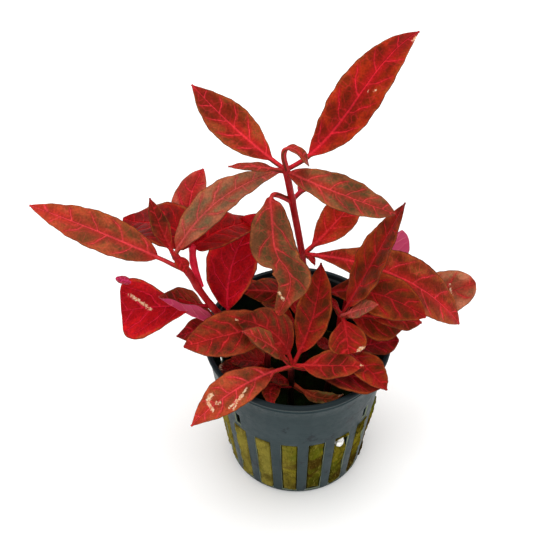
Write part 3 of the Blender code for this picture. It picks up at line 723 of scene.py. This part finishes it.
def blade_sheet(leaf, s, v, seed):
    """The blade's middle sheet as a grid of points, with the measures that its veins follow."""
    points, tangent, along, level = midribs(leaf, s)
    roll = Matrix.Rotation(math.radians(leaf.roll), 3, Vector(along))
    side = np.array(roll @ Vector(level))
    side = unit(side - tangent * (tangent @ side)[:, None])
    normal = np.cross(tangent, side)
    half = half_widths(leaf, s)
    fold = math.radians(leaf.fold) * np.minimum(1.0, half / FULL_FOLD_HALF_WIDTH)
    down = s[:, None]
    swell = np.minimum(1.0, 3 * half / leaf.width)[:, None]
    half = half[:, None]
    phase = np.where(v > 0, 1.5, 0.0)
    ripple = leaf.wave * np.sin(math.tau * WAVES * down + phase) * (v * v) * swell
    crimp = 0.2 * np.sin(math.tau * (leaf.length / 7 * down + seed) + 2 * phase) * np.abs(v) ** 3 * swell
    reach = np.clip((down - leaf.petiole) / (1 - leaf.petiole), 0, 1)
    waver = edge_waves(leaf, down, seed, phase) * swell * np.abs(v) ** 4
    out = half * v * (1 + waver / np.maximum(half, 1.0)) * bitten(leaf, s, v)
    rise = np.abs(out) * np.sin(fold)[:, None] + ripple + crimp
    from_base = (down - leaf.petiole) * leaf.length
    spacing = 0.14 * leaf.length + 0.8
    lead = from_base - 0.7 * np.abs(out) - 0.07 * out * out
    quilt = np.sin(math.pi * (lead / spacing + np.where(v > 0, VEIN_SHIFT, 0.0) + seed + 0.5))
    rise = rise + (QUILT_HEIGHT * np.abs(quilt) - QUILT_SINK) * swell * (1 - np.abs(v) ** 6)
    sheet = (points[:, None] + side[:, None] * (out * np.cos(fold)[:, None])[..., None]
             + normal[:, None] * rise[..., None])
    values = (from_base, out, reach, np.abs(v), spacing, seed, scar_values(leaf, s, out))
    measures = {key: np.broadcast_to(value, out.shape) for key, value in zip(LEAF_MEASURES, values)}
    return sheet, measures


def scar_values(leaf, s, out):
    """1 in the middle of each pale stroke, falling to 0 at its edge."""
    value = np.zeros(out.shape)
    x = s[:, None] * leaf.length
    for first, first_out, last, last_out, radius in leaf.scars:
        start = np.array([first * leaf.length, first_out])
        run = np.array([last * leaf.length, last_out]) - start
        share = ((x - start[0]) * run[0] + (out - start[1]) * run[1]) / max(run @ run, 1e-6)
        share = np.clip(share, 0, 1)
        away = np.hypot(x - start[0] - share * run[0], out - start[1] - share * run[1])
        value = np.maximum(value, 1 - away / radius)
    return value


def vertex_colours(look, reach):
    """The leaf's own colours at each point; the blade turns to the tip's colour along its length."""
    ripe = np.clip(reach.ravel()[:, None] * 1.6 - 0.6, 0, 1)
    inner, outer, vein, under = (np.array([*seen(*colour), 1.0]) for colour in
                                 (look.inner, look.outer, look.vein, look.under))
    tip = np.array([*seen(*look.tip), 1.0]) if look.tip else outer
    whole = np.ones_like(ripe)
    tones = (inner + (tip - inner) * ripe * bool(look.tip), outer + (tip - outer) * ripe,
             vein * whole, under * whole)
    return {key: np.tile(tone, (2, 1)) for key, tone in zip(LEAF_COLOURS, tones)}


def add_leaf(skin, leaf, index):
    """Adds one thin closed blade with its stalk and a raised rib below."""
    seed = (0.37 * index + 0.11) % 1.0
    rows = max(14, int(leaf.length / LEAF_CELL))
    s = np.linspace(0.0, 1.0, rows + 1)
    v = np.linspace(-1.0, 1.0, LEAF_CELLS_ACROSS + 1)
    sheet, measures = blade_sheet(leaf, s, v, seed)
    slope_s = np.gradient(sheet, axis=0)
    slope_v = np.gradient(sheet, axis=1)
    normal = unit(np.cross(slope_s, slope_v))
    reach = measures["leaf_reach"]
    across = measures["leaf_across"]
    stalk = np.clip(1 - measures["leaf_along"] / 4.0, 0, 1) * STALK_THICKNESS * np.sqrt(1 - 0.94 * v * v)
    thick = np.maximum(BLADE_THICKNESS * (1 - 0.5 * np.abs(v) ** 4), stalk)
    rib = 0.55 * (1 - reach) * np.exp(-(across / 0.7) ** 2)
    top = sheet + normal * (thick / 2)[..., None]
    bottom = sheet - normal * (thick / 2 + rib)[..., None]
    count = sheet.shape[0] * sheet.shape[1]
    values = {key: np.tile(np.asarray(data).ravel(), 2) for key, data in measures.items()}
    values.update(vertex_colours(LOOKS[leaf.look], reach))
    upper = grid_faces(rows + 1, LEAF_CELLS_ACROSS + 1)
    faces = [upper, upper[:, ::-1] + count, rim_faces(rows + 1, count)]
    slots = np.repeat([0, 1, 0], [len(part) for part in faces])
    points = np.concatenate([top.reshape(-1, 3), bottom.reshape(-1, 3)])
    skin.add(points, np.concatenate(faces), slots, values)


def rim_faces(rows, count):
    """Quads round the blade's edge, from its upper face to its lower one."""
    columns = LEAF_CELLS_ACROSS + 1
    index = np.arange(count).reshape(rows, columns)
    ring = np.concatenate([index[:, 0], index[-1, 1:], index[-2::-1, -1], index[0, -2::-1]])
    here, there = ring[:-1], ring[1:]
    return np.stack([here, here + count, there + count, there], axis=-1)


def rooted_apart(leaf, index):
    """The leaf with its root moved a little, as in the part."""
    spread = Vector((math.cos(2.4 * index), math.sin(2.4 * index), math.sin(1.7 * index)))
    return replace(leaf, at=tuple(Vector(leaf.at) + spread * ROOT_SPREAD))


def smooth_route(route):
    """Points of a smooth curve through the route's own points, about one step apart."""
    lengths = np.linalg.norm(np.diff(np.array(route), axis=0), axis=1)
    places = []
    for i, length in enumerate(lengths):
        steps = max(2, int(length / STEM_STEP))
        places.extend(i + k / steps for k in range(steps))
    places.append(len(lengths))
    points = curve(route, np.array(places) / len(lengths))[0]
    return np.vstack([points, points[-1] + unit(points[-1] - points[-2]) * STEM_STEP])


def stem_radii(centres, route):
    """A little thicker at each node, where the leaves join, and drawn in at the end."""
    radii = np.full(len(centres), STEM_RADIUS * 0.93)
    for node in route[1:]:
        away = np.linalg.norm(centres - np.array(node), axis=1)
        radii += 0.16 * np.exp(-(away / 1.5) ** 2)
    radii[-1] = 0.15
    return radii


def add_stem(skin, route, tone):
    """A ridged round stem with swollen nodes."""
    centres = smooth_route(route)
    tangent = unit(np.gradient(centres, axis=0))
    side = unit(np.cross(tangent, np.array([0.3, 1.0, 0.1])))
    other = np.cross(tangent, side)
    angle = np.linspace(0, math.tau, STEM_SIDES, endpoint=False)
    ridges = 1 + 0.045 * np.cos(5 * angle)
    radius = stem_radii(centres, route)[:, None] * ridges
    points = (centres[:, None] + side[:, None] * (np.cos(angle) * radius)[..., None]
              + other[:, None] * (np.sin(angle) * radius)[..., None])
    index = np.arange(len(centres) * STEM_SIDES).reshape(len(centres), STEM_SIDES)
    turned = np.roll(index, -1, axis=1)
    quads = np.stack([index[:-1], turned[:-1], turned[1:], index[1:]], axis=-1).reshape(-1, 4)
    count = len(centres) * STEM_SIDES
    values = {key: np.zeros(count) for key in LEAF_MEASURES}
    values.update({key: np.tile([*tone, 1.0], (count, 1)) for key in LEAF_COLOURS})
    skin.add(points.reshape(-1, 3), quads, np.full(len(quads), 2), values)


def stem_tone(route):
    if route is LEFT_BRANCH:
        return PINK_STEM
    return DARK_STEM if route is FRONT else RED_STEM


def make_leafy_stem(node, routes, leaves, materials):
    skin = Skin()
    for route in routes:
        add_stem(skin, route, stem_tone(route))
    for index, leaf in enumerate(leaves):
        add_leaf(skin, rooted_apart(leaf, index), index)
    dress(skin.object(node.replace("leafy_stem", "stem_and_leaves"), materials), node)


def dress(piece, node):
    """Rides the piece on the part and lets it stand for its node."""
    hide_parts(node)
    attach(piece, "root")


def wall_radius(z):
    """Outer radius of the pot's straight wall at height z."""
    top = RIM_RADIUS - LIP_OVERHANG
    return BASE_RADIUS + (top - BASE_RADIUS) * z / (POT_HEIGHT - LIP_HEIGHT)


def wall_rows():
    """Heights and outer radii of the wall's rings, from its foot to below the lip."""
    heights = [0.6, SLOT_BOTTOM, 5, 10, 15, 20, 24, SLOT_TOP, HIGH_SLOT_BOTTOM, HIGH_SLOT_TOP,
               39, 43, BEAD_HEIGHT - 0.4, BEAD_HEIGHT, BEAD_HEIGHT + 0.3, 47.6]
    return [(z, wall_radius(z) + (BEAD_PROUD if z == BEAD_HEIGHT else 0.0)) for z in heights]


def clamped(value):
    return min(max(value, 0.0), 1.0)


def slot_half_width(z):
    share = clamped((z - SLOT_BOTTOM) / (SLOT_TOP - SLOT_BOTTOM))
    return (SLOT_WIDTH_BOTTOM + (SLOT_WIDTH_TOP - SLOT_WIDTH_BOTTOM) * share) / 2


def wall_angles(z):
    """Angles of the wall's columns: each slot has three cells, and each rib between slots three."""
    half_angle = slot_half_width(z) / wall_radius(min(max(z, SLOT_BOTTOM), SLOT_TOP))
    core = HIGH_SLOT_WIDTH / 2 / wall_radius(HIGH_SLOT_TOP)
    sector = math.tau / SLOT_COUNT
    rib = sector - 2 * half_angle
    offsets = [-half_angle, -core, core, half_angle, half_angle + rib / 3, half_angle + 2 * rib / 3]
    first = math.radians(FIRST_SLOT_AZIMUTH)
    return [first + sector * index + offset for index in range(SLOT_COUNT) for offset in offsets]


def is_open(column, row, rows):
    """Whether a cell of the wall lies in a slot."""
    slot, cell = divmod(column, 6)
    low, high = rows[row][0], rows[row + 1][0]
    if SLOT_BOTTOM <= low and high <= SLOT_TOP:
        return cell < 3
    return low == HIGH_SLOT_BOTTOM and high == HIGH_SLOT_TOP and cell == 1 and slot in HIGH_SLOTS


def ring(bm, radius, z):
    return [bm.verts.new((radius * MM * math.cos(a), radius * MM * math.sin(a), z * MM))
            for a in wall_angles(z)]


def bridge(bm, lower, upper, open_cells=()):
    """Quads between two rings, apart from the cells left open."""
    count = len(lower)
    for i in range(count):
        if i not in open_cells:
            bm.faces.new((lower[i], lower[(i + 1) % count], upper[(i + 1) % count], upper[i]))


def slot_sides(bm, outer, inner, open_cells):
    """The thickness of the wall, seen round each slot."""
    count = len(outer[0])
    for column, row in open_cells:
        right = (column + 1) % count
        low_out, high_out = outer[row], outer[row + 1]
        low_in, high_in = inner[row], inner[row + 1]
        if ((column - 1) % count, row) not in open_cells:
            bm.faces.new((low_out[column], high_out[column], high_in[column], low_in[column]))
        if (right, row) not in open_cells:
            bm.faces.new((high_out[right], low_out[right], low_in[right], high_in[right]))
        if (column, row - 1) not in open_cells:
            bm.faces.new((low_out[right], low_out[column], low_in[column], low_in[right]))
        if (column, row + 1) not in open_cells:
            bm.faces.new((high_out[column], high_out[right], high_in[right], high_in[column]))


def pot_wall_mesh():
    bm = bmesh.new()
    rows = wall_rows()
    outer = [ring(bm, radius, z) for z, radius in rows]
    inner = [ring(bm, wall_radius(z) - WALL, z) for z, _ in rows]
    count = len(outer[0])
    open_cells = {(c, r) for c in range(count) for r in range(len(rows) - 1) if is_open(c, r, rows)}
    for row in range(len(rows) - 1):
        gaps = {c for c, r in open_cells if r == row}
        bridge(bm, outer[row], outer[row + 1], gaps)
        bridge(bm, inner[row + 1], inner[row], gaps)
    slot_sides(bm, outer, inner, open_cells)
    last = outer[-1]
    for radius, z in lip_profile():
        upper = ring(bm, radius, z)
        bridge(bm, last, upper)
        last = upper
    bridge(bm, last, inner[-1])
    foot = ring(bm, BASE_RADIUS - 0.5, 0.0)
    hidden = ring(bm, BASE_RADIUS - WALL - 0.4, 0.1)
    bridge(bm, foot, outer[0])
    bridge(bm, hidden, foot)
    bridge(bm, inner[0], hidden)
    bmesh.ops.recalc_face_normals(bm, faces=bm.faces)
    mesh = bpy.data.meshes.new("pot_wall")
    bm.to_mesh(mesh)
    bm.free()
    return mesh


def lip_profile():
    """The lip's rounded section, from under it over to the inside of the wall."""
    middle = POT_HEIGHT - LIP_HEIGHT / 2
    half = LIP_HEIGHT / 2
    under = POT_HEIGHT - LIP_HEIGHT
    turns = [math.radians(degrees) for degrees in range(-75, 91, 15)]
    rounded = [(RIM_RADIUS - half + half * math.cos(a), middle + half * math.sin(a)) for a in turns]
    wall = wall_radius(under)
    inside = [(wall - WALL + 0.35, POT_HEIGHT - 0.05), (wall - WALL + 0.1, POT_HEIGHT - 0.4)]
    return [(wall, under - 0.1)] + rounded + inside


def pot_floor_mesh():
    """The drained floor: a disc with slots like spokes."""
    bm = bmesh.new()
    bmesh.ops.create_cone(bm, cap_ends=True, segments=96, radius1=(BASE_RADIUS - 0.7) * MM,
                          radius2=(BASE_RADIUS - 0.7) * MM, depth=(FLOOR - 0.02) * MM)
    bmesh.ops.translate(bm, verts=bm.verts, vec=(0, 0, (FLOOR / 2 + 0.01) * MM))
    disc = add_shape("pot_floor", bm)
    cutters = [floor_cutter(index) for index in range(FLOOR_SLOTS)]
    for cutter in cutters:
        cut = disc.modifiers.new("slot", "BOOLEAN")
        cut.operation = "DIFFERENCE"
        cut.object = cutter
        cut.solver = "EXACT"
    disc = baked(disc)
    for cutter in cutters:
        bpy.data.objects.remove(cutter)
    mesh = disc.data
    bpy.data.objects.remove(disc)
    return mesh


def floor_cutter(index):
    length, width = (value * MM for value in FLOOR_SLOT_SIZE)
    turn = Matrix.Rotation(math.tau * (index + 0.5) / FLOOR_SLOTS, 4, "Z")
    size = Matrix.Diagonal((length, width, 6 * MM, 1))
    place = turn @ Matrix.Translation((FLOOR_SLOT_RADIUS * MM, 0, 0)) @ size
    bm = bmesh.new()
    bmesh.ops.create_cube(bm, size=1.0, matrix=place)
    return add_shape("floor_slot", bm)


def mark_outward(mesh):
    """Keeps at each point how far it lies towards the wall's outer side, from 0 to 1."""
    points = np.empty(len(mesh.vertices) * 3)
    mesh.vertices.foreach_get("co", points)
    x, y, z = points.reshape(-1, 3).T / MM
    outward = np.clip((np.hypot(x, y) - wall_radius(z) + WALL) / WALL, 0, 1)
    outward = np.where(z < FLOOR, 1.0, outward)
    layer = mesh.attributes.new("pot_outward", "FLOAT", "POINT")
    layer.data.foreach_set("value", outward.astype(np.float32))


def make_pot(material):
    bm = bmesh.new()
    bm.from_mesh(pot_wall_mesh())
    bm.from_mesh(pot_floor_mesh())
    pot = add_shape("slotted_pot", bm)
    rounding = pot.modifiers.new("rounding", "BEVEL")
    rounding.width = SLOT_EDGE_ROUNDING * MM
    rounding.segments = 2
    rounding.limit_method = "ANGLE"
    rounding.angle_limit = math.radians(50)
    pot = baked(pot)
    shade(pot.data, 45.0)
    mark_outward(pot.data)
    pot.data.materials.append(material)
    dress(pot, "net_pot")


def wool_depth(place):
    """How far the fibre's surface sinks at a place, in millimetres."""
    coarse = noise.fractal(place * 0.16, 1.0, 2.0, 4)
    fine = noise.fractal(place * 0.9 + Vector((7, 3, 1)), 0.8, 2.1, 3)
    return max(0.0, 0.45 + 0.35 * coarse + 0.22 * fine)


def slot_swell(angle, z):
    """How far the fibre swells out into a slot, from 0 on the ribs to 1 in a slot's middle."""
    sector = math.tau / SLOT_COUNT
    turn = (angle - math.radians(FIRST_SLOT_AZIMUTH)) / sector
    away = abs(turn - round(turn)) * sector * wall_radius(z)
    side = clamped((slot_half_width(z) - SLOT_MARGIN - away) / 0.25)
    ends = clamped(min(z - SLOT_BOTTOM - SLOT_MARGIN, SLOT_TOP - SLOT_MARGIN - z) / 0.4)
    return side * ends


def slot_fill(place):
    """How far the fibre can swell at a place: past the wall in lumps, and not at the granule."""
    turn = math.radians(GRANULE_AZIMUTH)
    granule = Vector((GRANULE_RADIUS * math.cos(turn), GRANULE_RADIUS * math.sin(turn), GRANULE_HEIGHT))
    room = clamped((place - granule).length / GRANULE_ROOM - 0.6)
    return room * (SLOT_FILL + 0.7 * noise.noise(place * 0.22))


def plug_radius(share):
    """The plug's radius at a share of its height, a little clear of the pot's wall."""
    top = wall_radius(PLUG_TOP) - WALL - PLUG_CLEARANCE
    foot = wall_radius(FLOOR) - WALL - PLUG_CLEARANCE
    return foot + (top - foot) * share


def plug_side_row(row):
    """Places of one ring of the plug's side, and how much of the mossy near-black painted shade each has."""
    share = row / (PLUG_ROWS - 1)
    z = FLOOR + 0.4 + (PLUG_TOP - FLOOR - 0.4) * share
    radius = plug_radius(share)
    for angle in PLUG_ANGLES:
        out = Vector((math.cos(angle), math.sin(angle), 0))
        place = Vector((radius * math.cos(angle), radius * math.sin(angle), z))
        swell = slot_swell(angle, z)
        sunk = wool_depth(place) - slot_fill(place) * swell
        yield place - out * sunk, (1 - swell) * clamped((z - MOSS_AND_SHADE_START) / MOSS_AND_SHADE_FADE)


def plug_top_row(ring):
    """Places of one ring of the plug's top, from its edge inwards, all mossy and in near-black painted shade.
    """
    radius = plug_radius(1.0) * (1 - (ring + 1) / (PLUG_RINGS + 0.5))
    for angle in PLUG_ANGLES:
        place = Vector((radius * math.cos(angle), radius * math.sin(angle), PLUG_TOP))
        yield place - Vector((0, 0, wool_depth(place))), 1.0


def make_plug(material):
    rows = [list(plug_side_row(row)) for row in range(PLUG_ROWS)]
    rows += [list(plug_top_row(ring)) for ring in range(PLUG_RINGS)]
    bm = bmesh.new()
    lines = [[bm.verts.new(place * MM) for place, _ in row] for row in rows]
    for lower, upper in zip(lines, lines[1:]):
        bridge(bm, lower, upper)
    bm.faces.new(lines[-1])
    bm.faces.new(lines[0][::-1])
    plug = add_shape("rockwool", bm)
    # Each point's share of mossy near-black painted shade
    mossy = [moss_and_shade for row in rows for _, moss_and_shade in row]
    plug.data.attributes.new("wool_moss_and_shade", "FLOAT", "POINT").data.foreach_set("value", mossy)
    plug.data.shade_smooth()
    plug.data.materials.append(material)
    dress(plug, "rockwool_plug")


def make_granule(material):
    bm = bmesh.new()
    bmesh.ops.create_icosphere(bm, subdivisions=5, radius=1.0)
    place = (Matrix.Rotation(math.radians(GRANULE_AZIMUTH), 4, "Z")
             @ Matrix.Translation((GRANULE_RADIUS, 0.0, GRANULE_HEIGHT)))
    for vert in bm.verts:
        x, y, z = vert.co
        lump = 1 + 0.14 * math.sin(4 * x + 2 * y) + 0.12 * math.sin(5 * z - 3 * y)
        lump += 0.1 * noise.fractal(vert.co * 3, 0.8, 2.0, 4) - 0.02
        vert.co = (place @ Vector([c * size * lump for c, size in zip((x, y, z), GRANULE_SIZE)])) * MM
    grain = add_shape("mineral_grain", bm)
    grain.data.shade_smooth()
    grain.data.materials.append(material)
    dress(grain, "white_granule")


def make_floor():
    mesh = bpy.data.meshes.new("studio_floor")
    corners = [(x * FLOOR_REACH, y * FLOOR_REACH, 0) for x, y in ((-1, -1), (1, -1), (1, 1), (-1, 1))]
    mesh.from_pydata(corners, [], [(0, 1, 2, 3)])
    mesh.materials.append(floor_material())
    floor = add_object("studio_floor", mesh)
    floor.location.z = -FLOOR_DROP


def aim(obj, target):
    direction = Vector(target) - obj.location
    obj.rotation_euler = direction.to_track_quat("-Z", "Y").to_euler()


def make_light():
    for name, (place, size, power) in LIGHTS.items():
        data = bpy.data.lights.new(name, "AREA")
        data.shape = "DISK"
        data.size = size
        data.energy = power
        light = add_object(name, data)
        light.location = place
        aim(light, LIGHT_AIM)
    world = bpy.data.worlds.new("studio")
    world.use_nodes = True
    back = world.node_tree.nodes["Background"]
    back.inputs["Color"].default_value = (1.0, 1.0, 1.0, 1.0)
    back.inputs["Strength"].default_value = WORLD_STRENGTH
    bpy.context.scene.world = world
    bpy.context.scene.view_settings.view_transform = "Standard"


def make_camera():
    data = bpy.data.cameras.new("camera")
    data.lens = CAMERA_LENS
    data.sensor_width = CAMERA_SENSOR
    data.clip_start = 0.01
    camera = add_object("camera", data)
    rise = math.radians(CAMERA_RISE)
    back = Vector((0.0, -math.cos(rise), math.sin(rise))) * CAMERA_DISTANCE * MM
    camera.location = Vector(CAMERA_AIM) * MM + back
    aim(camera, Vector(CAMERA_AIM) * MM)
    bpy.context.scene.camera = camera


def main():
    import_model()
    make_camera()
    make_light()
    make_floor()
    leaf_materials = [leaf_top_material(), leaf_under_material(), stem_material()]
    for node, (routes, leaves) in LEAFY_STEMS.items():
        make_leafy_stem(node, routes, leaves, leaf_materials)
    make_pot(plastic_material())
    make_plug(rockwool_material())
    make_granule(granule_material())


main()
